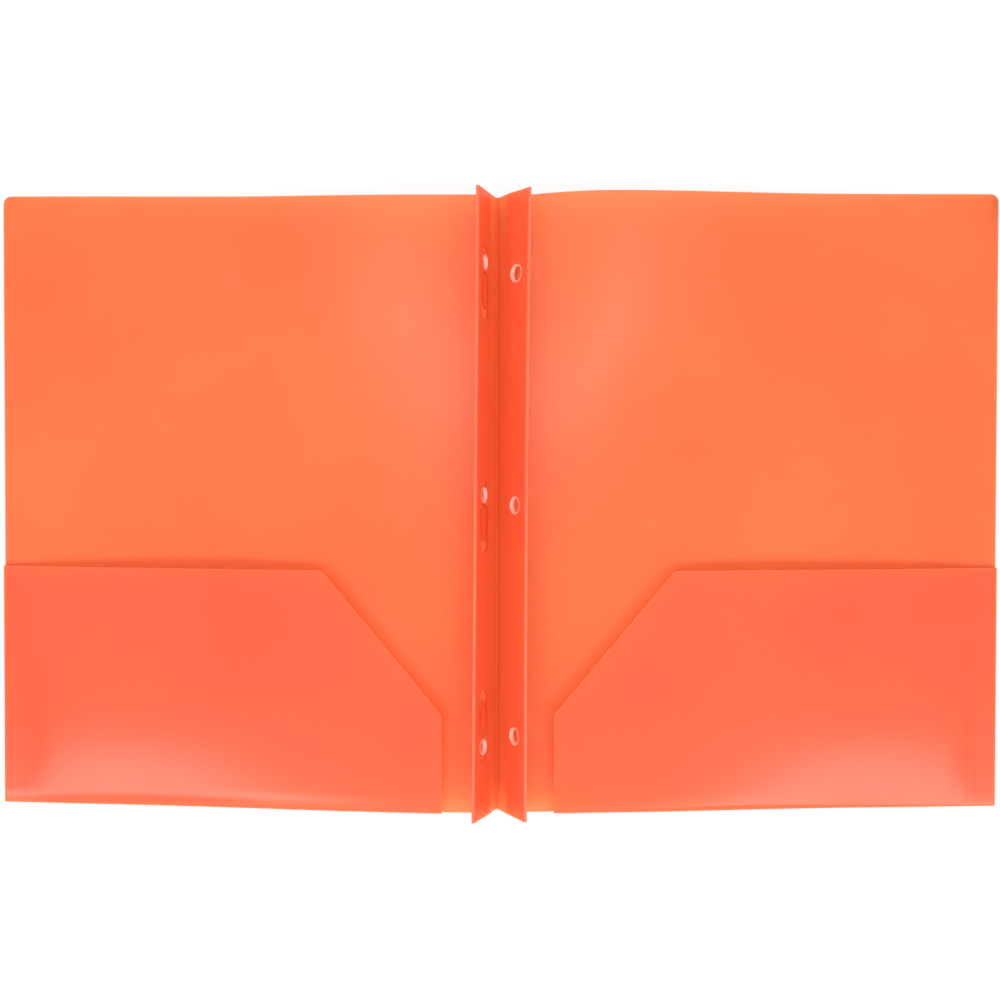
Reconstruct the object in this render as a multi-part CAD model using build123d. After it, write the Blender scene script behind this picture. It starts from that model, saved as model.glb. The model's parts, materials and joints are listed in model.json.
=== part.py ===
from build123d import *
import math
import os

# Two pocket folder, die-cut from one sheet of polypropylene and lying open on its back.
# The spine is a W of creases: from each cover the sheet climbs a fin, turns over a ridge,
# comes down again and meets the other half in a valley between the two fins.
# Three prongs are cut from the left fin, and three ring holes are punched in the right one.
# +X runs across the open folder, +Y towards its top edge and +Z up off the table.
# The origin is on the table, under the middle of the open folder.

# Sheet, in millimetres
sheet = 0.5
crease_web = 0.3
panel_height = 292.0

# Covers
cover_width = 231.2
cover_corner_radius = 4.0

# Spine: the fins stand at these angles from upright
left_fin_lean = 19.0
right_fin_lean = 31.0
fin_depth = 24.0
fin_layer_spacing = 1.2
base_crease_along_fin = 9.0
base_crease_radius = 1.9
valley_crease_radius = 1.05
valley_height = 4.2

# Pockets: the gap to the cover widens from the welded outer edge to the free inner edge
pocket_height = 114.5
pocket_inset = 18.9
pocket_inner_height = 46.5
pocket_slant_run = 57.7
pocket_corner_radius = 3.0
pocket_outer_gap = 2.0
pocket_inner_gap = 5.0
tab_width = 15.0
tab_end_clearance = 1.5
tab_slant = 8.0

# Ring holes and prongs, on both fins at the same depth from the valley
ring_spacing = 107.95
ring_hole_radius = 4.0
ring_hole_depth = 14.6
prong_length = 17.0
prong_width = 5.6
prong_side_gap = 0.35
prong_root_gap = 0.15
prong_finger_gap = 5.0
eyelet_radius = 3.5
eyelet_bridge = 1.3
relief_width = 4.8
relief_height = 2.4
relief_corner_radius = 0.6
relief_bridge = 0.7

# Places on a fin: how far along it, and how far off the valley's axis on the side away from it
left_rise = 90.0 - left_fin_lean
right_rise = 90.0 - right_fin_lean
ridge_radius = fin_layer_spacing / 2
ridge_along = fin_depth - ridge_radius - sheet / 2
inner_layer_off = -valley_crease_radius
outer_layer_off = inner_layer_off - fin_layer_spacing
base_off = outer_layer_off - base_crease_radius

# Places on a cover, measured from its base crease
cover_off = -base_crease_radius
cover_top_off = cover_off + sheet / 2
bottom_edge = -panel_height / 2
pocket_outer_off = cover_top_off + pocket_outer_gap + sheet / 2
pocket_inner_off = cover_top_off + pocket_inner_gap + sheet / 2
pocket_top_edge = bottom_edge + pocket_height
tab_off = cover_top_off + sheet / 2
side_fold_radius = (pocket_outer_off - tab_off) / 2
side_fold_along = cover_width - side_fold_radius - sheet / 2
outer_fold_radius = (pocket_outer_off - cover_off) / 2
inner_fold_radius = (pocket_inner_off - cover_off) / 2
outer_fold_line = bottom_edge + outer_fold_radius + sheet / 2
inner_fold_line = bottom_edge + inner_fold_radius + sheet / 2
tab_low_end = outer_fold_line + tab_end_clearance

# Each prong lies in a slot as wide as a ring hole, on the side next to the ridge
prong_slot_width = 2 * ring_hole_radius
prong_depth = ring_hole_depth + prong_slot_width / 2 - prong_side_gap - prong_width / 2

# Behind each prong's root come its eyelet and, beyond a narrow bridge, a small relief slit
eyelet_offset = eyelet_bridge + eyelet_radius
relief_offset = eyelet_offset + eyelet_radius + relief_bridge + relief_height / 2

# Each prong's root lies over a ring hole, and the outer ones point towards the middle
prong_roots = {"top": ring_spacing, "middle": 0.0, "bottom": -ring_spacing}
prong_ways = {"top": -1, "middle": -1, "bottom": 1}


def along_and_off(side, rise, pivot, along, off):
    """Place in the X-Z section of a point on a panel that rises from its pivot."""
    angle = math.radians(rise)
    x = pivot[0] + side * (along * math.cos(angle) - off * math.sin(angle))
    z = pivot[1] + along * math.sin(angle) + off * math.cos(angle)
    return (x, z)


def cover_tilt(axis_height):
    """Slope, in degrees, that lets a cover down from its base crease to the table."""
    under = base_crease_radius + sheet / 2
    reach = math.hypot(cover_width, under)
    return math.degrees(math.asin(axis_height / reach) - math.atan2(under, cover_width))


def cover_reach(side, axis, tilt):
    """Distance from the middle to the cover's outer edge."""
    slope = math.radians(tilt)
    return side * axis[0] + cover_width * math.cos(slope) + cover_top_off * math.sin(slope)


def put(piece, side, rise, pivot):
    """Stand a flat right-hand piece up at its pivot, mirrored for the left side."""
    handed = piece if side > 0 else mirror(piece, about=Plane.YZ)
    return Location((pivot[0], 0, pivot[1]), (0, -side * rise, 0)) * handed


def plate(outline, off):
    """Sheet of the given outline, its middle plane at off."""
    return Pos(0, 0, off) * extrude(outline, amount=sheet / 2, both=True)


def bend(centre, radius, thickness, start, turn):
    """Section through a bent strip, as a sector of a ring."""
    outside = CenterArc(centre, radius + thickness / 2, start, turn)
    inside = CenterArc(centre, radius - thickness / 2, start, turn)
    ends = [Line(outside @ 0, inside @ 0), Line(outside @ 1, inside @ 1)]
    return make_face([outside, inside] + ends)


def corner_near(outline, point):
    """The outline's corner nearest to a point."""
    return outline.vertices().sort_by_distance(Vector(point[0], point[1], 0))[0]


def rectangle(low, high):
    """Rectangle from its low corner to its high corner."""
    size = (high[0] - low[0], high[1] - low[1])
    return Pos((low[0] + high[0]) / 2, (low[1] + high[1]) / 2) * Rectangle(*size)


def make_cover():
    """Cover panel, cut back along its bottom where the pocket folds up."""
    outline = rectangle((0, bottom_edge), (cover_width, -bottom_edge))
    outline -= make_face(
        Polyline(
            (pocket_inset, bottom_edge),
            (pocket_inset, inner_fold_line),
            (side_fold_along, outer_fold_line),
            (cover_width, outer_fold_line),
            (cover_width, bottom_edge),
            close=True,
        )
    )
    outline = fillet(corner_near(outline, (cover_width, -bottom_edge)), cover_corner_radius)
    return plate(outline, cover_off)


def make_pocket_panel():
    """Front of the pocket, a sloping sheet with its slanted mouth towards the spine."""
    slant_top = (pocket_inset + pocket_slant_run, pocket_top_edge)
    slant_foot = (pocket_inset, bottom_edge + pocket_inner_height)
    outline = make_face(
        Polyline(
            (pocket_inset, inner_fold_line),
            (side_fold_along, outer_fold_line),
            (side_fold_along, pocket_top_edge),
            slant_top,
            slant_foot,
            close=True,
        )
    )
    for corner in (slant_top, slant_foot):
        outline = fillet(corner_near(outline, corner), pocket_corner_radius)
    slope = make_face(
        Polyline(
            (pocket_inset, pocket_inner_off - sheet / 2),
            (pocket_inset, pocket_inner_off + sheet / 2),
            (side_fold_along, pocket_outer_off + sheet / 2),
            (side_fold_along, pocket_outer_off - sheet / 2),
            close=True,
        )
    )
    slab = extrude(Plane.XZ * slope, amount=panel_height, both=True)
    return slab & extrude(outline, amount=2 * pocket_inner_gap, both=True)


def make_bottom_fold():
    """Fold along the bottom edge that turns the sheet up into the pocket, wider at its free end."""
    ends = (
        (pocket_inset, inner_fold_line, pocket_inner_off, inner_fold_radius),
        (side_fold_along, outer_fold_line, pocket_outer_off, outer_fold_radius),
    )
    sections = []
    for along, line, off, radius in ends:
        section = bend((line, (cover_off + off) / 2), radius, sheet, 90, 180)
        sections.append(Pos(along, 0, 0) * (Plane.YZ * section))
    return loft(sections, ruled=True)


def make_side_fold():
    """Fold along the outer edge that turns the pocket under into its tab."""
    middle = (tab_off + pocket_outer_off) / 2
    section = bend((side_fold_along, middle), side_fold_radius, sheet, -90, 180)
    half = (pocket_top_edge - tab_low_end) / 2
    strip = extrude(Plane.XZ * section, amount=half, both=True)
    return Pos(0, tab_low_end + half, 0) * strip


def make_side_tab():
    """Tab under the pocket's outer edge, where it is welded to the cover."""
    inner = side_fold_along - tab_width
    outline = make_face(
        Polyline(
            (inner, tab_low_end + tab_slant),
            (side_fold_along, tab_low_end),
            (side_fold_along, pocket_top_edge),
            (inner, pocket_top_edge - tab_slant),
            close=True,
        )
    )
    return plate(outline, tab_off)


def make_fin_layer(start, off, cutouts):
    """One of a fin's two layers, from start up to the ridge."""
    outline = rectangle((start, bottom_edge), (ridge_along, -bottom_edge))
    for cutout in cutouts:
        outline -= cutout
    return plate(outline, off)


def make_ridge_fold():
    """Fold over the top of a fin that joins its two layers."""
    centre = (ridge_along, (inner_layer_off + outer_layer_off) / 2)
    section = bend(centre, ridge_radius, sheet, -90, 180)
    return extrude(Plane.XZ * section, amount=panel_height / 2, both=True)


def make_valley_crease(axis):
    """Scored crease at the foot of both fins, bent about its own axis."""
    section = bend(axis, valley_crease_radius, crease_web, -90 - left_rise, left_rise + right_rise)
    return extrude(Plane.XZ * section, amount=panel_height / 2, both=True)


def make_base_crease(side, rise, axis, tilt):
    """Scored crease between a fin's outer layer and its cover, bent about its own axis."""
    centre = (side * axis[0], axis[1])
    section = bend(centre, base_crease_radius, crease_web, 90 + rise, 180 - tilt - rise)
    strip = extrude(Plane.XZ * section, amount=panel_height / 2, both=True)
    return strip if side > 0 else mirror(strip, about=Plane.YZ)


def ring_holes():
    """Holes at the spacing of a three ring binder."""
    return [Pos(ring_hole_depth, root) * Circle(ring_hole_radius) for root in prong_roots.values()]


def eyelets():
    """Hole beside each prong's root, through both layers of the left fin."""
    places = [prong_roots[name] - prong_ways[name] * eyelet_offset for name in prong_roots]
    return [Pos(ring_hole_depth, place) * Circle(eyelet_radius) for place in places]


def tongue(depth, root, way, start, length, width):
    """Strip along the fin from start, with a round tip at its length from the root."""
    tip = length - width / 2
    low, high = sorted((root + way * start, root + way * tip))
    half = width / 2
    strip = rectangle((depth - half, low), (depth + half, high))
    return strip + Pos(depth, root + way * tip) * Circle(half)


def prong_cutouts():
    """Slot that each prong is cut from, and the small slit beyond its eyelet."""
    cuts = []
    for name, root in prong_roots.items():
        way = prong_ways[name]
        slot_start = -sheet / 2 - prong_root_gap
        slot_length = prong_length + prong_finger_gap
        cuts.append(tongue(ring_hole_depth, root, way, slot_start, slot_length, prong_slot_width))
        slit = RectangleRounded(relief_width, relief_height, relief_corner_radius)
        cuts.append(Pos(ring_hole_depth, root - way * relief_offset) * slit)
    return cuts


def make_prong(name):
    """Prong with a round tip, and a round root that it bends about."""
    root = prong_roots[name]
    outline = tongue(prong_depth, root, prong_ways[name], 0, prong_length, prong_width)
    bead = Cylinder(sheet / 2, prong_width, rotation=(0, 90, 0))
    return plate(outline, inner_layer_off) + Pos(prong_depth, root, inner_layer_off) * bead


# Axes of the creases, with the folder centred between its outer edges
valley_z = valley_height + valley_crease_radius + crease_web / 2
rises = {1: right_rise, -1: left_rise}
names = {1: "right", -1: "left"}


def base_axis(side, valley):
    """Axis of one side's base crease in the X-Z section."""
    return along_and_off(side, rises[side], valley, base_crease_along_fin, base_off)


tilts = {side: cover_tilt(base_axis(side, (0, valley_z))[1]) for side in rises}
reaches = {side: cover_reach(side, base_axis(side, (0, valley_z)), tilts[side]) for side in rises}
valley = ((reaches[-1] - reaches[1]) / 2, valley_z)

pieces = {"valley_crease": make_valley_crease(valley)}
for side, name in names.items():
    axis = base_axis(side, valley)
    tilt = tilts[side]
    cover_pieces = {
        "cover": make_cover(),
        "pocket_panel": make_pocket_panel(),
        "pocket_bottom_fold": make_bottom_fold(),
        "pocket_side_fold": make_side_fold(),
        "pocket_side_tab": make_side_tab(),
    }
    holes = ring_holes() if side > 0 else eyelets()
    inner_cuts = holes if side > 0 else holes + prong_cutouts()
    fin_pieces = {
        "fin_inner_layer": make_fin_layer(0, inner_layer_off, inner_cuts),
        "fin_outer_layer": make_fin_layer(base_crease_along_fin, outer_layer_off, holes),
        "ridge_fold": make_ridge_fold(),
    }
    for piece_name, piece in cover_pieces.items():
        pieces[f"{name}_{piece_name}"] = put(piece, side, -tilt, axis)
    for piece_name, piece in fin_pieces.items():
        pieces[f"{name}_{piece_name}"] = put(piece, side, rises[side], valley)
    pieces[f"{name}_base_crease"] = make_base_crease(side, rises[side], axis, tilt)
    print(name, "base axis", axis, "tilt", tilt, "reach", cover_reach(side, axis, tilt))
for prong_name in prong_roots:
    pieces[f"prong_{prong_name}"] = put(make_prong(prong_name), -1, left_rise, valley)
print("valley axis", valley)

os.makedirs("parts", exist_ok=True)
for piece_name, piece in pieces.items():
    export_step(piece, f"parts/{piece_name}.step")
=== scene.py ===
import json
import math

import bmesh
import bpy
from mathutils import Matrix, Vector


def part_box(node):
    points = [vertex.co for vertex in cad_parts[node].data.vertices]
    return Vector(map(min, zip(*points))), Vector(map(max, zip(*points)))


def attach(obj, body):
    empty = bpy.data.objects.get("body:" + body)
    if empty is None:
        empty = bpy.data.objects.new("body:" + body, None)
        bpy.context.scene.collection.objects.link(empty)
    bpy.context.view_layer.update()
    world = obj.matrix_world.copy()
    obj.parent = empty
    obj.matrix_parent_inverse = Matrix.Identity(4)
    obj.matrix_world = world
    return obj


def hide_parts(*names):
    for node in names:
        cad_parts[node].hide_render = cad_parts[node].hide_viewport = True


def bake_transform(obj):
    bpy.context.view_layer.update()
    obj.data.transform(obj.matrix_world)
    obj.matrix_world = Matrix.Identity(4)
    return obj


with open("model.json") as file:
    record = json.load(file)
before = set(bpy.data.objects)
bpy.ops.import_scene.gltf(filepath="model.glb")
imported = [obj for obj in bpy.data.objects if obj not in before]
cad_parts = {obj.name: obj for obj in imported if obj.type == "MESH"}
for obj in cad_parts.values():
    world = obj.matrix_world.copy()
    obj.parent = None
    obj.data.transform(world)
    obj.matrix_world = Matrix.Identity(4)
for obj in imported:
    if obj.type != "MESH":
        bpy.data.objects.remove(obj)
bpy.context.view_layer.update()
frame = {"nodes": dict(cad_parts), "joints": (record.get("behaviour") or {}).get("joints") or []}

# Sizes of the folded sheet, in metres
MM = 0.001
sheet = 0.5 * MM
crease_web = 0.3 * MM
half_height = 146 * MM
cover_width = 231.2 * MM
left_rise = math.radians(71)
right_rise = math.radians(59)
fin_depth = 24 * MM
fin_thickness = 1.7 * MM
ridge_along = fin_depth - fin_thickness / 2
base_crease_radius = 1.9 * MM
valley_crease_radius = 1.05 * MM
fin_middle_off = -valley_crease_radius + sheet / 2 - fin_thickness / 2

# Pockets, in a cover's own lengths: along it from its base crease, and off its base crease's axis
pocket_inset = 18.9 * MM
pocket_slant_run = 56.8 * MM
pocket_foot = -half_height + 47.4 * MM
pocket_top = -half_height + 114.5 * MM
pocket_corner_radius = 3 * MM
pocket_outer_gap = 2 * MM
pocket_inner_gap = 5 * MM
pocket_outer_end = cover_width - (pocket_outer_gap + sheet) / 2
cover_off = -base_crease_radius
mouth_softness = pocket_corner_radius / 7
mouth_corner_share = 0.12

# Ring holes, eyelets and prongs, along a fin from the valley
ring_spacing = 107.95 * MM
hole_along = 14.6 * MM
hole_radius = 4 * MM
eyelet_radius, eyelet_offset = 3.5 * MM, 4.8 * MM
relief_offset, relief_corner_radius = 10.2 * MM, 0.6 * MM
relief_width, relief_height = 4.8 * MM, 2.4 * MM
relief_seam = 0.002
prong_width = 5.6 * MM
prong_side_gap = 0.35 * MM
prong_length, prong_finger_gap = 17 * MM, 5 * MM
prong_along = hole_along + hole_radius - prong_side_gap - prong_width / 2
prong_ways = {"top": -1, "middle": -1, "bottom": 1}
prong_roots = {"top": ring_spacing, "middle": 0, "bottom": -ring_spacing}
web_reach, web_margin = 1.0 * MM, 0.3 * MM
# Width and standout of the dark bands of painted shade along the prongs' cut edges
cut_shade_band, cut_shade_proud = 0.06 * MM, 0.01 * MM
lip_width, lip_height = 0.22 * MM, 0.06 * MM
lip_slope = 0.3
lining = 0.45 * MM

# Weld dots, by their distance from the outer edge and their lowest and highest places
dot_radius, dot_height = 0.5 * MM, 0.12 * MM
dot_pitch = 2.4 * MM
dot_rings = ((1, -0.2), (1, 0.2), (0.75, 0.7), (0.4, 1))
left_dot_columns, right_dot_columns = (10.3 * MM,), (10.3 * MM, 14.6 * MM)
left_dots_low, left_dots_high = -143 * MM, -118 * MM
right_dots_low, right_dots_high = -143 * MM, -102 * MM

# How far the sheet strays from flat and square
fin_bow_starts = 7 * MM
fin_twist = 0.9 * MM
fin_bows = {1: 0.4 * MM, -1: 0.6 * MM}
fin_end_bows = {1: 0.7 * MM, -1: 0}
ridge_pinch, ridge_lift = 0.45, 0.3 * MM
prong_lift = 0.7 * MM
leaf_skews = {1: 0.0078, -1: 0.0075}
left_cover_rise, left_cover_dip = 0.6 * MM, 1.7 * MM
right_cover_rise, right_cover_dip = 2.6 * MM, 2.2 * MM
right_rise_starts, right_rise_full = -60 * MM, 90 * MM
right_top_lift, right_top_bow = 0.9 * MM, 1.1 * MM
pocket_bottom_curve = 50 * MM
pocket_curve_starts, pocket_curve_full = 85 * MM, 170 * MM
weld_strip = 10 * MM
pocket_fold_pinch = 0.9
pocket_edge_curve = 6 * MM
pocket_edge_drops = {1: 0.1 * MM, -1: 0.6 * MM}
fold_overlap = 0.1 * MM
corner_reach, corner_clearance = 12 * MM, 0.3 * MM

# Where the covers' bows start, peak and end, as shares of their width
cover_hollow = (0.26, 0.5, 0.93)
left_cover_hill = (0.0, 0.15, 0.34)
right_cover_hill = (0.0, 0.22, 0.8)
right_top_hill = (0.0, 0.2, 0.65)
right_top_lift_full = 0.1

# Powers that shape the curves
pocket_across_power = 13
pocket_lift_power = 2.2
panel_spacing_power = 1.5
web_thinning_power = 3

# How finely the pieces are cut: faces along and up, then counts of steps
cover_faces = (8 * MM, 24 * MM)
side_faces = (8 * MM, 4 * MM)
fin_faces = (1.2 * MM, 4 * MM)
prong_faces = (1 * MM, 2 * MM)
merge_distance = 1e-7
sharp_angle = math.radians(35)
fold_steps = 14
panel_steps = 40
corner_columns, slant_columns, outer_columns = 8, 52, 36
slant_column_pitch = 1.5 * MM
crease_steps, crease_half_rows = 16, 20
web_half_rows = 6
web_shares = (-1, -0.5, 0, 0.5, 1)
side_steps, tip_steps, relief_steps = 8, 16, 32
rim_turns = 48
dot_sides = 12

names = {1: "right", -1: "left"}
rises = {1: right_rise, -1: left_rise}
joints = {joint["name"]: joint for joint in frame["joints"]}
valley_axis = Vector(joints["valley_hinge"]["pos_m"])
base_axes = {side: Vector(joints[f"{names[side]}_base_hinge"]["pos_m"]) for side in names}
tilts = {}
for side, name in names.items():
    closing = -joints[f"{name}_base_hinge"]["range_deg"][0]
    tilts[side] = math.radians(closing) - rises[side]


def smooth(value):
    """Smooth step from 0 to 1."""
    held = min(max(value, 0.0), 1.0)
    return held * held * (3 - 2 * held)


def swell(value, start, peak, end):
    """Smooth hill that starts, peaks and ends at these values."""
    if value < peak:
        return smooth((value - start) / (peak - start))
    return smooth((end - value) / (end - peak))


def on_panel(side, rise, pivot, along, y, off):
    """Point on a panel that rises from its pivot."""
    x = pivot.x + side * (along * math.cos(rise) - off * math.sin(rise))
    z = pivot.z + along * math.sin(rise) + off * math.cos(rise)
    return Vector((x, y, z))


def panel_lengths(side, rise, pivot, point):
    """How far a point is along a panel and off it."""
    out = side * (point.x - pivot.x)
    up = point.z - pivot.z
    along = out * math.cos(rise) + up * math.sin(rise)
    off = up * math.cos(rise) - out * math.sin(rise)
    return along, off


def on_cover(side, along, y, off):
    """Point on a cover, from its base crease, on a leaf that is skewed a little."""
    skewed_y = y + leaf_skews[side] * along
    return on_panel(side, -tilts[side], base_axes[side], along, skewed_y, off)


def on_fin(side, along, y, off):
    """Point on a fin, from the valley."""
    return on_panel(side, rises[side], valley_axis, along, y, off)


def fin_shift(side, along, y):
    """How far the fin's slight bow and twist move it off its own plane."""
    share = smooth((along - fin_bow_starts) / (ridge_along - fin_bow_starts))
    up = y / half_height
    return -share * (fin_bows[side] + fin_end_bows[side] * up * up + side * fin_twist * up)


def cover_shift(side, along, y):
    """How far the cover bows off its own plane."""
    share = along / cover_width
    hollow = swell(share, *cover_hollow)
    if side > 0:
        high = smooth((y - right_rise_starts) / (right_rise_full - right_rise_starts))
        hill = high * right_cover_rise * swell(share, *right_cover_hill)
        return hill - (1 - high) * right_cover_dip * hollow
    return left_cover_rise * swell(share, *left_cover_hill) - left_cover_dip * hollow


def top_edge_rise(side, along, y):
    """How far the right cover's top edge stands up past a straight one."""
    if side < 0:
        return 0
    share = along / cover_width
    lift = right_top_lift * smooth(share / right_top_lift_full)
    return (lift + right_top_bow * swell(share, *right_top_hill)) * smooth(y / half_height)


def prong_shift(name, y):
    """How far a prong lies off the fin's own plane, lifting towards its tip."""
    root = prong_roots[name]
    reach = max(prong_ways[name] * (y - root), 0) / prong_length
    return fin_shift(-1, prong_along, root) + prong_lift * reach * reach


def add_object(name, mesh, material, body=None, stands_for=()):
    """Put a finished mesh in the scene, on its body and in place of CAD nodes."""
    piece = bpy.data.objects.new(name, mesh)
    bpy.context.scene.collection.objects.link(piece)
    mesh.materials.clear()
    mesh.materials.append(material)
    for polygon in mesh.polygons:
        polygon.use_smooth = True
    mesh.set_sharp_from_angle(angle=sharp_angle)
    if body:
        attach(piece, body)
    if stands_for:
        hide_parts(*stands_for)
    return piece


def finer_mesh(node, faces):
    """Copy of a CAD node's mesh, cut across and along into smaller faces."""
    work = bmesh.new()
    work.from_mesh(frame["nodes"][node].data)
    bmesh.ops.remove_doubles(work, verts=work.verts, dist=merge_distance)
    low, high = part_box(node)
    cuts = []
    for axis, step in enumerate(faces):
        count = max(1, round((high[axis] - low[axis]) / step))
        normal = Vector((1, 0, 0)) if axis == 0 else Vector((0, 1, 0))
        for index in range(1, count):
            place = low[axis] + (high[axis] - low[axis]) * index / count
            cuts.append((normal * place, normal))
    for place, normal in cuts:
        geometry = work.verts[:] + work.edges[:] + work.faces[:]
        bmesh.ops.bisect_plane(
            work, geom=geometry, plane_co=place, plane_no=normal, dist=merge_distance
        )
    return work


def mesh_from(work, name):
    """Mesh of a finished work mesh."""
    bmesh.ops.recalc_face_normals(work, faces=work.faces)
    mesh = bpy.data.meshes.new(name)
    work.to_mesh(mesh)
    work.free()
    return mesh


def closed_grid(name, top_rows, bottom_rows):
    """Closed sheet between two grids of points of the same size."""
    work = bmesh.new()
    top = [[work.verts.new(point) for point in row] for row in top_rows]
    bottom = [[work.verts.new(point) for point in row] for row in bottom_rows]
    rows, columns = len(top), len(top[0])
    for i in range(rows - 1):
        for j in range(columns - 1):
            work.faces.new((top[i][j], top[i][j + 1], top[i + 1][j + 1], top[i + 1][j]))
            work.faces.new((bottom[i][j], bottom[i + 1][j], bottom[i + 1][j + 1], bottom[i][j + 1]))
    for i in range(rows - 1):
        for j in (0, columns - 1):
            work.faces.new((top[i][j], top[i + 1][j], bottom[i + 1][j], bottom[i][j]))
    for j in range(columns - 1):
        for i in (0, rows - 1):
            work.faces.new((top[i][j], bottom[i][j], bottom[i][j + 1], top[i][j + 1]))
    return mesh_from(work, name)


# Materials, with noise sizes per metre and bump depths in metres
cloud_scale, cloud_detail = 11, 3
streak_stretch, streak_detail = (260, 7, 260), 4
grain_scale, grain_detail = 2600, 2
ramp_ends = (0.3, 0.7)
seen_spread, through_spread, rough_spread = 0.03, 0.035, 0.05
streak_bump_strength, streak_bump_depth = 0.15, 0.02 * MM
grain_bump_strength, grain_bump_depth = 0.25, 0.03 * MM
sheet_ior = 1.5
through_share = 0.65


def noise(nodes, scale, detail):
    """Noise texture of one scale."""
    texture = nodes.new("ShaderNodeTexNoise")
    texture.inputs["Scale"].default_value = scale
    texture.inputs["Detail"].default_value = detail
    return texture


def bump(nodes, links, texture, strength, depth):
    """Bump raised by a noise texture."""
    raised = nodes.new("ShaderNodeBump")
    raised.inputs["Strength"].default_value = strength
    raised.inputs["Distance"].default_value = depth
    links.new(texture.outputs["Fac"], raised.inputs["Height"])
    return raised


def poly_material(name, seen, through, roughness):
    """Frosted polypropylene: satin, faintly cloudy and streaked, and lit through."""
    material = bpy.data.materials.new(name)
    material.use_nodes = True
    nodes = material.node_tree.nodes
    links = material.node_tree.links
    nodes.clear()
    output = nodes.new("ShaderNodeOutputMaterial")
    mix = nodes.new("ShaderNodeMixShader")
    surface = nodes.new("ShaderNodeBsdfPrincipled")
    glow = nodes.new("ShaderNodeBsdfTranslucent")
    place = nodes.new("ShaderNodeTexCoord")
    cloud = noise(nodes, cloud_scale, cloud_detail)
    stretch = nodes.new("ShaderNodeMapping")
    stretch.inputs["Scale"].default_value = streak_stretch
    streak = noise(nodes, 1, streak_detail)
    grain = noise(nodes, grain_scale, grain_detail)
    links.new(place.outputs["Object"], cloud.inputs["Vector"])
    links.new(place.outputs["Object"], stretch.inputs["Vector"])
    links.new(stretch.outputs["Vector"], streak.inputs["Vector"])
    links.new(place.outputs["Object"], grain.inputs["Vector"])
    painted = (
        (seen, surface.inputs["Base Color"], seen_spread),
        (through, glow.inputs["Color"], through_spread),
    )
    for (red, green, blue), socket, spread in painted:
        ramp = nodes.new("ShaderNodeValToRGB")
        shares = (1 - spread, 1 + spread)
        for element, share, end in zip(ramp.color_ramp.elements, shares, ramp_ends):
            element.color = (red, min(1.0, green * share), min(1.0, blue * share), 1)
            element.position = end
        links.new(cloud.outputs["Fac"], ramp.inputs["Fac"])
        links.new(ramp.outputs["Color"], socket)
    rough = nodes.new("ShaderNodeMapRange")
    rough.inputs["To Min"].default_value = roughness - rough_spread
    rough.inputs["To Max"].default_value = roughness + rough_spread
    links.new(streak.outputs["Fac"], rough.inputs["Value"])
    links.new(rough.outputs["Result"], surface.inputs["Roughness"])
    streak_bump = bump(nodes, links, streak, streak_bump_strength, streak_bump_depth)
    grain_bump = bump(nodes, links, grain, grain_bump_strength, grain_bump_depth)
    links.new(streak_bump.outputs["Normal"], grain_bump.inputs["Normal"])
    links.new(grain_bump.outputs["Normal"], surface.inputs["Normal"])
    surface.inputs["IOR"].default_value = sheet_ior
    mix.inputs["Fac"].default_value = through_share
    links.new(surface.outputs["BSDF"], mix.inputs[1])
    links.new(glow.outputs["BSDF"], mix.inputs[2])
    links.new(mix.outputs["Shader"], output.inputs["Surface"])
    return material


poly = poly_material("poly_sheet", (1.0, 0.195, 0.102), (1.0, 0.71, 0.41), 0.24)
# Deeper scored colour: on the crease strips it is painted shade, since little light reaches the bottom
# of the valley; on the weld dots it is the marks' own darker colour
poly_score_and_shade = poly_material("poly_score_and_shade", (1.0, 0.18, 0.07), (1.0, 0.55, 0.32), 0.75)
# Paler ridge colour: a painted highlight, the light caught along the crown of each fold
poly_ridge_highlight = poly_material("poly_ridge_highlight", (1.0, 0.24, 0.13), (1.0, 0.62, 0.48), 0.4)
# Dark cut-edge colour: painted shade, standing in for the shadow in the narrow gaps round the prongs
poly_cut_shade = poly_material("poly_cut_shade", (0.9, 0.1, 0.035), (0.9, 0.35, 0.2), 0.5)
# Pale rim colour: painted light, seen through the holes and caught on their walls
poly_rim_light = poly_material("poly_rim_light", (1.0, 0.72, 0.62), (1.0, 0.92, 0.87), 0.35)

# Covers, with the slight bow of an opened sheet
for side, name in names.items():
    work = finer_mesh(f"{name}_cover", cover_faces)
    for vertex in work.verts:
        along, off = panel_lengths(side, -tilts[side], base_axes[side], vertex.co)
        y = vertex.co.y
        bowed_y = y + top_edge_rise(side, along, y)
        vertex.co = on_cover(side, along, bowed_y, off + cover_shift(side, along, y))
    add_object(f"{name}_cover_sheet", mesh_from(work, name), poly, f"{name}_leaf", [f"{name}_cover"])


# Pockets, turned up from the covers along a soft bottom fold
def mouth_height(along):
    """Y of the pocket's mouth, slanted towards the spine, with rounded corners."""
    slope = (pocket_top - pocket_foot) / pocket_slant_run
    from_edge = along - pocket_inset
    slanted = pocket_foot + slope * from_edge
    below_slant = math.exp(-slanted / mouth_softness)
    below_top = math.exp(-pocket_top / mouth_softness)
    rounded_top = -mouth_softness * math.log(below_slant + below_top)
    turn = pocket_corner_radius
    if from_edge < turn:
        corner = turn - math.sqrt(max(turn * turn - (turn - from_edge) ** 2, 0))
        rounded_top -= mouth_corner_share * corner
    return rounded_top


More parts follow.
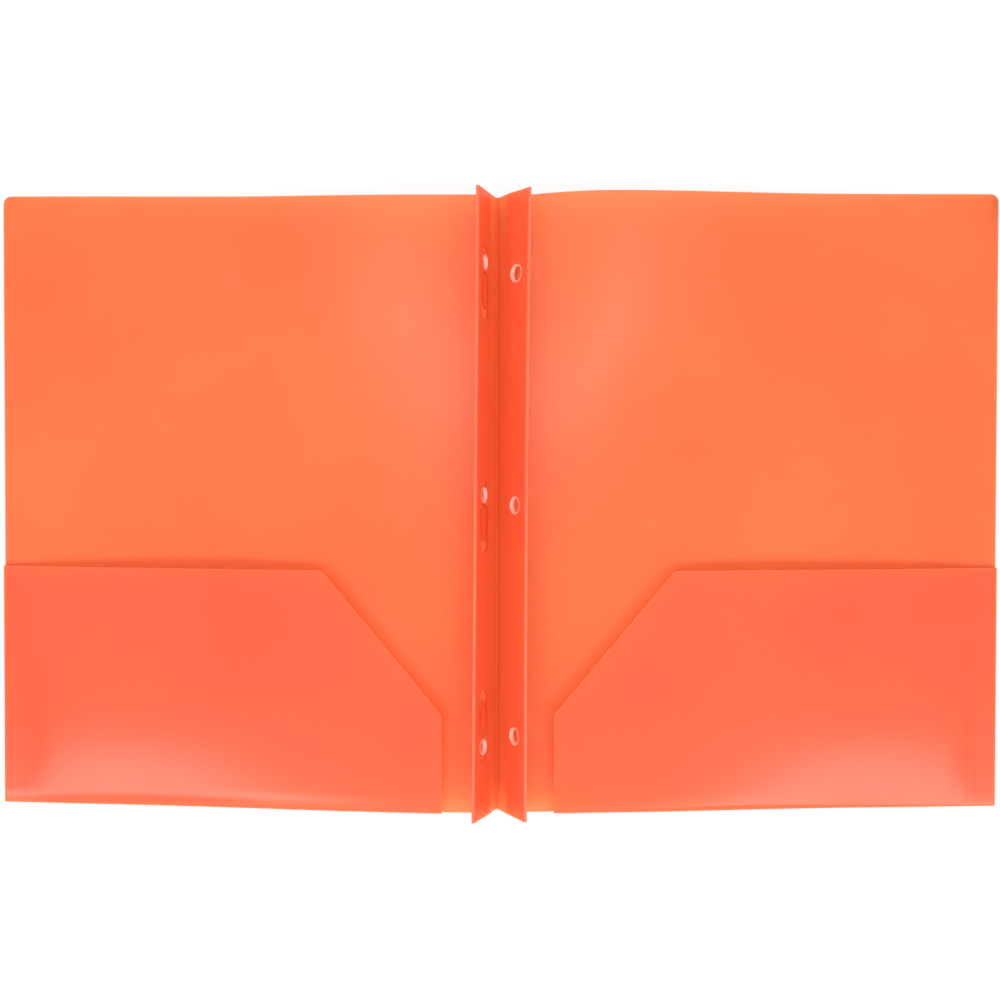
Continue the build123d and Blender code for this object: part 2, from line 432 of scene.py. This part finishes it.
def panel_level(side, along, y, fold_line):
    """Height of the pocket's front over its cover's flat plane."""
    outer = cover_off + pocket_outer_gap + sheet
    span = pocket_inner_gap - pocket_outer_gap
    weld_edge = pocket_outer_end - weld_strip
    share = (weld_edge - along) / (weld_edge - pocket_inset)
    across = 1 - (1 - min(max(share, 0.0), 1.0)) ** pocket_across_power
    up = min(max((y - fold_line) / pocket_bottom_curve, 0.0), 1.0)
    lifted = 1 - (1 - up) ** pocket_lift_power
    curved = smooth((along - pocket_curve_starts) / (pocket_curve_full - pocket_curve_starts))
    edge = 1 - min(max((y - fold_line) / pocket_edge_curve, 0.0), 1.0)
    level = outer + span * across * (1 - pocket_fold_pinch * curved * (1 - lifted))
    return level - pocket_edge_drops[side] * edge * edge


def pocket_section(side, along):
    """Middle line of the pocket sheet at one place: round the fold and up to the mouth."""
    low = cover_off + cover_shift(side, along, -half_height)
    radius = (panel_level(side, along, -half_height, -half_height) - low) / 2
    fold_line = -half_height + radius + sheet / 2
    share = (along - pocket_inset) / (pocket_outer_end - pocket_inset)
    cad_gap = pocket_inner_gap + (pocket_outer_gap - pocket_inner_gap) * share
    cover_edge = max(-half_height + cad_gap / 2 + sheet, fold_line + fold_overlap)
    points = [(cover_edge, low)]
    for index in range(fold_steps + 1):
        angle = math.radians(-90 - 180 * index / fold_steps)
        y = fold_line + radius * math.cos(angle)
        points.append((y, low + radius + radius * math.sin(angle)))
    top = mouth_height(along)
    for index in range(1, panel_steps + 1):
        y = fold_line + (top - fold_line) * (index / panel_steps) ** panel_spacing_power
        points.append((y, panel_level(side, along, y, fold_line)))
    return points


def offset_line(points, distance):
    """Line beside a line of points, at a distance on its left."""
    moved = []
    for index, point in enumerate(points):
        before = points[max(index - 1, 0)]
        after = points[min(index + 1, len(points) - 1)]
        run, rise = after[0] - before[0], after[1] - before[1]
        length = math.hypot(run, rise)
        moved.append((point[0] - distance * rise / length, point[1] + distance * run / length))
    return moved


def pocket_columns():
    """Places along the cover at which the pocket is cut into sections: corner, slant and rest."""
    turns = [math.pi / 2 * index / corner_columns for index in range(corner_columns)]
    near = [pocket_inset + pocket_corner_radius * (1 - math.cos(turn)) for turn in turns]
    start = pocket_inset + pocket_corner_radius
    far = [start + slant_column_pitch * index for index in range(slant_columns)]
    left_over = pocket_outer_end - far[-1]
    rest = [far[-1] + left_over * index / outer_columns for index in range(1, outer_columns + 1)]
    return near + far + rest


for side, name in names.items():
    outside, inside = [], []
    for along in pocket_columns():
        section = pocket_section(side, along)
        for rows, distance in ((outside, sheet / 2), (inside, -sheet / 2)):
            line = offset_line(section, distance)
            rows.append([on_cover(side, along, *point) for point in line])
    mesh = closed_grid(f"{name}_pocket", outside, inside)
    replaced = [f"{name}_pocket_panel", f"{name}_pocket_bottom_fold"]
    add_object(f"{name}_pocket_sheet", mesh, poly, f"{name}_leaf", replaced)

# Tabs inside the pockets, and side folds run on down so that the pocket's outer corner is square
for side, name in names.items():
    for part in ("pocket_side_fold", "pocket_side_tab"):
        work = finer_mesh(f"{name}_{part}", side_faces)
        lowest = min(vertex.co.y for vertex in work.verts)
        drop = lowest + half_height - corner_clearance if part == "pocket_side_fold" else 0
        for vertex in work.verts:
            along, off = panel_lengths(side, -tilts[side], base_axes[side], vertex.co)
            low_share = smooth((lowest + corner_reach - vertex.co.y) / corner_reach)
            vertex.co = on_cover(side, along, vertex.co.y - drop * low_share, off)
        mesh = mesh_from(work, f"{name}_{part}")
        add_object(f"{name}_{part}_sheet", mesh, poly, f"{name}_leaf", [f"{name}_{part}"])

# Fins, with the slight bow and twist of a creased sheet, and ridges pressed sharp and painted paler: a
# painted highlight along each fold's crown
fin_materials = {"fin_inner_layer": poly, "fin_outer_layer": poly, "ridge_fold": poly_ridge_highlight}
for side, name in names.items():
    for part, material in fin_materials.items():
        work = finer_mesh(f"{name}_{part}", fin_faces)
        for vertex in work.verts:
            along, off = panel_lengths(side, rises[side], valley_axis, vertex.co)
            over = max(along - ridge_along, 0) / (fin_thickness / 2)
            off = fin_middle_off + (off - fin_middle_off) * (1 - ridge_pinch * over)
            shift = fin_shift(side, along, vertex.co.y)
            lifted = along + ridge_lift * over * over
            vertex.co = on_fin(side, lifted, vertex.co.y, off + shift)
        mesh = mesh_from(work, f"{name}_{part}")
        add_object(f"{name}_{part}_sheet", mesh, material, f"{name}_fin", [f"{name}_{part}"])


# Creases, as strips curved round their axes where two bodies meet
def crease_strip(name, axis, radius, start, turn):
    """Thin scored strip bent about its axis, thickest at its two ends, painted deeper as shade in the
    crease.
    """
    inside, outside = [], []
    half = crease_half_rows
    heights = [Vector((0, half_height * i / half, 0)) for i in range(-half, half + 1)]
    for index in range(crease_steps + 1):
        share = index / crease_steps
        angle = start + turn * share
        web = crease_web + (sheet - crease_web) * abs(2 * share - 1) ** web_thinning_power
        direction = Vector((math.cos(angle), 0, math.sin(angle)))
        for rows, distance in ((inside, radius - web / 2), (outside, radius + web / 2)):
            rows.append([axis + direction * distance + height for height in heights])
    strip = add_object(f"{name}_strip", closed_grid(name, outside, inside), poly_score_and_shade)
    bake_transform(strip)
    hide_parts(name)


# The valley's strip is painted deeper than the sheet: painted shade at the bottom of the valley
crease_strip(
    "valley_crease", valley_axis, valley_crease_radius,
    -math.pi / 2 - left_rise, left_rise + right_rise,
)
for side, name in names.items():
    fin_end = math.pi / 2 + rises[side]
    turn = math.pi - tilts[side] - rises[side]
    if side < 0:
        fin_end, turn = math.pi - fin_end, -turn
    crease_strip(
        f"{name}_base_crease", base_axes[side], base_crease_radius,
        fin_end, turn,
    )

# Prongs, lying in the left fin, with a thin web at the root that each one bends about
for name, root in prong_roots.items():
    way = prong_ways[name]
    work = finer_mesh(f"prong_{name}", prong_faces)
    for vertex in work.verts:
        along, off = panel_lengths(-1, left_rise, valley_axis, vertex.co)
        vertex.co = on_fin(-1, along, vertex.co.y, off + prong_shift(name, vertex.co.y))
    add_object(f"prong_{name}_tongue", mesh_from(work, name), poly, f"prong_{name}", [f"prong_{name}"])
    root_off = fin_shift(-1, prong_along, root) - valley_crease_radius
    web_half_width = prong_width / 2 - web_margin
    alongs = [prong_along + share * web_half_width for share in web_shares]
    faces = ([], [])
    for index in range(-web_half_rows, web_half_rows + 1):
        y = root + way * web_reach * index / web_half_rows
        for rows, off in zip(faces, (crease_web / 2, -crease_web / 2)):
            rows.append([on_fin(-1, along, y, off + root_off) for along in alongs])
    web = add_object(f"prong_{name}_root_web", closed_grid(name, *faces), poly)
    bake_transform(web)


# Cut edges round each prong, its slot and its slit, painted dark: painted shade standing in for the
# shadow in the narrow gaps round the prongs
def tongue_path(centre, root, way, length, width, start):
    """Points up one side of a tongue, round its tip and down the other side."""
    half = width / 2
    shoulder = length - half
    straight = [start + (shoulder - start) * index / side_steps for index in range(side_steps + 1)]
    points = [(centre - half, root + way * y) for y in straight]
    for index in range(1, tip_steps):
        angle = math.pi * index / tip_steps
        along = centre - half * math.cos(angle)
        points.append((along, root + way * (shoulder + half * math.sin(angle))))
    points += [(centre + half, root + way * y) for y in reversed(straight)]
    return points


def relief_path(middle, inset):
    """Points round the slit beyond an eyelet, from one side of a hair's gap to the other."""
    points = []
    radius = relief_corner_radius - inset
    for index in range(relief_steps + 1):
        share = relief_seam + (1 - 2 * relief_seam) * index / relief_steps
        angle = 2 * math.pi * share
        across = math.copysign(relief_width / 2 - relief_corner_radius, math.cos(angle))
        up = math.copysign(relief_height / 2 - relief_corner_radius, math.sin(angle))
        along = hole_along + across + radius * math.cos(angle)
        points.append((along, middle + up + radius * math.sin(angle)))
    return points


def shaded_cut_edge(name, inner_path, outer_path, body, prong=None):
    """Thin band between two paths, as deep as the sheet, on the left fin or on a prong, painted dark
    as the shade in the gap.
    """
    faces = []
    half_depth = sheet / 2 + cut_shade_proud
    for path in (inner_path, outer_path):
        rows = []
        for along, y in path:
            shift = prong_shift(prong, y) if prong else fin_shift(-1, along, y)
            offs = [shift - valley_crease_radius + end * half_depth for end in (-1, 1)]
            rows.append([on_fin(-1, along, y, off) for off in offs])
        faces.append(rows)
    add_object(name, closed_grid(name, *faces), poly_cut_shade, body)


slot_length = prong_length + prong_finger_gap
for name, root in prong_roots.items():
    way = prong_ways[name]
    slot, edge, relief = [], [], []
    for inset in (0, cut_shade_band):
        slot_width = 2 * (hole_radius - inset)
        slot.append(tongue_path(hole_along, root, way, slot_length - inset, slot_width, 0))
        length, width = prong_length + inset, prong_width + 2 * inset
        edge.append(tongue_path(prong_along, root, way, length, width, web_reach))
        relief.append(relief_path(root - way * relief_offset, inset))
    shaded_cut_edge(f"prong_{name}_slot_edge", slot[1], slot[0], "left_fin")
    shaded_cut_edge(f"prong_{name}_shaded_cut_edge", edge[0], edge[1], f"prong_{name}", name)
    shaded_cut_edge(f"prong_{name}_relief_edge", relief[1], relief[0], "left_fin")


# Punched rims of the ring holes and eyelets, painted pale: painted light, standing in for the bright
# table seen through the holes and light caught on their walls
def rim_mesh(name, side, hole, places):
    """Thin lining through both layers of a fin at each place, with a small lip on each face."""
    face = -valley_crease_radius + sheet / 2
    back = face - fin_thickness
    lip = hole + lip_width
    profile = [(hole, face + lip_height), (lip, face + lip_height * lip_slope)]
    profile += [(lip, face - lip_height), (hole, face - lip_height)]
    profile += [(hole, back + lip_height), (lip, back + lip_height)]
    profile += [(lip, back - lip_height * lip_slope), (hole, back - lip_height)]
    profile += [(hole - lining, back), (hole - lining, face)]
    work = bmesh.new()
    for place in places:
        rings = []
        for index in range(rim_turns):
            angle = 2 * math.pi * index / rim_turns
            ring = []
            for radius, off in profile:
                along = hole_along + radius * math.cos(angle)
                y = place + radius * math.sin(angle)
                ring.append(work.verts.new(on_fin(side, along, y, off + fin_shift(side, along, y))))
            rings.append(ring)
        for index, ring in enumerate(rings):
            after = rings[(index + 1) % rim_turns]
            for corner in range(len(profile)):
                other = (corner + 1) % len(profile)
                work.faces.new((ring[corner], ring[other], after[other], after[corner]))
    return mesh_from(work, name)


eyelet_places = [prong_roots[name] - prong_ways[name] * eyelet_offset for name in prong_roots]
hole_rims = rim_mesh("right_hole_rims", 1, hole_radius, prong_roots.values())
eyelet_rims = rim_mesh("left_eyelet_rims", -1, eyelet_radius, eyelet_places)
add_object("right_hole_rims", hole_rims, poly_rim_light, "right_fin")
add_object("left_eyelet_rims", eyelet_rims, poly_rim_light, "left_fin")


# Weld dots, which hold each pocket to its tab near the outer edge
def dot_mesh(name, side, columns, low_y, high_y):
    """Columns of low round dots on the pocket's front."""
    work = bmesh.new()
    count = round((high_y - low_y) / dot_pitch)
    for from_edge in columns:
        along = cover_width - from_edge
        for index in range(count + 1):
            y = low_y + (high_y - low_y) * index / count
            rings = []
            for share, lift in dot_rings:
                ring = []
                for corner in range(dot_sides):
                    angle = 2 * math.pi * corner / dot_sides
                    out = along + dot_radius * share * math.cos(angle)
                    up = y + dot_radius * share * math.sin(angle)
                    level = panel_level(side, out, up, -half_height) + sheet / 2
                    ring.append(work.verts.new(on_cover(side, out, up, level + dot_height * lift)))
                rings.append(ring)
            for lower, upper in zip(rings, rings[1:]):
                for corner in range(dot_sides):
                    other = (corner + 1) % dot_sides
                    work.faces.new((lower[corner], lower[other], upper[other], upper[corner]))
            work.faces.new(rings[-1])
            work.faces.new(rings[0][::-1])
    return mesh_from(work, name)


left_dots = dot_mesh("left_weld_dots", -1, left_dot_columns, left_dots_low, left_dots_high)
right_dots = dot_mesh("right_weld_dots", 1, right_dot_columns, right_dots_low, right_dots_high)
add_object("left_weld_dots", left_dots, poly_score_and_shade, "left_leaf")
add_object("right_weld_dots", right_dots, poly_score_and_shade, "right_leaf")

# Floor, lights and camera, in metres, watts and degrees
floor_paleness, floor_white_share = 0.86, 0.85
floor_half, floor_drop = 4.0, 0.3 * MM
soft_light, background_light = 0.69, 1.0
camera_place = (5.19 * MM, 10.8 * MM, 532.2 * MM)
camera_turn = (-0.92, 0.489, 0.101)
camera_sensor, camera_lens = 36, 39.78


def background_rays(nodes, links):
    """Socket that is 1 for the rays that show the background: seen, mirrored or straight through."""
    rays = nodes.new("ShaderNodeLightPath")
    through = nodes.new("ShaderNodeMath")
    through.operation = "SUBTRACT"
    through.use_clamp = True
    links.new(rays.outputs["Is Transmission Ray"], through.inputs[0])
    links.new(rays.outputs["Is Diffuse Ray"], through.inputs[1])
    total = through.outputs["Value"]
    for ray in ("Is Camera Ray", "Is Glossy Ray"):
        either = nodes.new("ShaderNodeMath")
        either.operation = "MAXIMUM"
        links.new(rays.outputs[ray], either.inputs[0])
        links.new(total, either.inputs[1])
        total = either.outputs["Value"]
    return total


def floor_material():
    """Pale floor that looks white to the camera and keeps the shadow."""
    material = bpy.data.materials.new("floor")
    material.use_nodes = True
    nodes = material.node_tree.nodes
    links = material.node_tree.links
    nodes.clear()
    output = nodes.new("ShaderNodeOutputMaterial")
    paint = nodes.new("ShaderNodeBsdfDiffuse")
    paint.inputs["Color"].default_value = (floor_paleness, floor_paleness, floor_paleness, 1)
    white = nodes.new("ShaderNodeEmission")
    white.inputs["Strength"].default_value = background_light
    share = nodes.new("ShaderNodeMath")
    share.operation = "MULTIPLY"
    share.inputs[1].default_value = floor_white_share
    links.new(background_rays(nodes, links), share.inputs[0])
    mix = nodes.new("ShaderNodeMixShader")
    links.new(share.outputs["Value"], mix.inputs["Fac"])
    links.new(paint.outputs["BSDF"], mix.inputs[1])
    links.new(white.outputs["Emission"], mix.inputs[2])
    links.new(mix.outputs["Shader"], output.inputs["Surface"])
    return material


def add_floor():
    """Wide plane just under the covers' outer edges."""
    half = floor_half
    mesh = bpy.data.meshes.new("floor")
    corners = [(-half, -half, 0), (half, -half, 0), (half, half, 0), (-half, half, 0)]
    mesh.from_pydata(corners, [], [(0, 1, 2, 3)])
    mesh.materials.append(floor_material())
    floor = bpy.data.objects.new("floor", mesh)
    floor.location.z = -floor_drop
    bpy.context.scene.collection.objects.link(floor)


def add_lamp(name, place, target, size, power):
    """Soft rectangular lamp aimed at a point."""
    data = bpy.data.lights.new(name, "AREA")
    data.shape = "RECTANGLE"
    data.size, data.size_y = size
    data.energy = power
    lamp = bpy.data.objects.new(name, data)
    lamp.location = place
    aim = Vector(target) - Vector(place)
    lamp.rotation_euler = aim.to_track_quat("-Z", "Y").to_euler()
    bpy.context.scene.collection.objects.link(lamp)


add_floor()
# Two lamps lay a sheen beside the spine, one looks down into the valley, two light the pockets
add_lamp("left_overhead", (-0.26, 0.25, 1.5), target=(-0.05, 0.1, 0), size=(0.16, 0.5), power=2.4)
add_lamp("right_overhead", (0.21, 0.25, 1.5), target=(0.05, 0.1, 0), size=(0.14, 0.5), power=2.3)
add_lamp("spine_overhead", (0.0, 0.95, 1.5), target=(0, 0, 0), size=(0.1, 0.3), power=4.0)
add_lamp("front_left", (-0.67, -0.64, 1.0), target=(-0.67, -0.1, 0), size=(0.66, 0.32), power=7.9)
add_lamp("front_right", (0.67, -0.64, 1.0), target=(0.67, -0.1, 0), size=(0.66, 0.32), power=7.9)

world = bpy.data.worlds.new("studio")
bpy.context.scene.world = world
world.use_nodes = True
world_nodes = world.node_tree.nodes
world_links = world.node_tree.links
world_nodes.clear()
world_output = world_nodes.new("ShaderNodeOutputWorld")
world_mix = world_nodes.new("ShaderNodeMixShader")
world_links.new(background_rays(world_nodes, world_links), world_mix.inputs["Fac"])
for index, strength in ((1, soft_light), (2, background_light)):
    sky = world_nodes.new("ShaderNodeBackground")
    sky.inputs["Color"].default_value = (1, 1, 1, 1)
    sky.inputs["Strength"].default_value = strength
    world_links.new(sky.outputs["Background"], world_mix.inputs[index])
world_links.new(world_mix.outputs["Shader"], world_output.inputs["Surface"])

camera_data = bpy.data.cameras.new("camera")
camera_data.sensor_width = camera_sensor
camera_data.lens = camera_lens
camera = bpy.data.objects.new("camera", camera_data)
camera.location = camera_place
camera.rotation_euler = [math.radians(angle) for angle in camera_turn]
bpy.context.scene.collection.objects.link(camera)
bpy.context.scene.camera = camera
bpy.context.scene.view_settings.view_transform = "Standard"
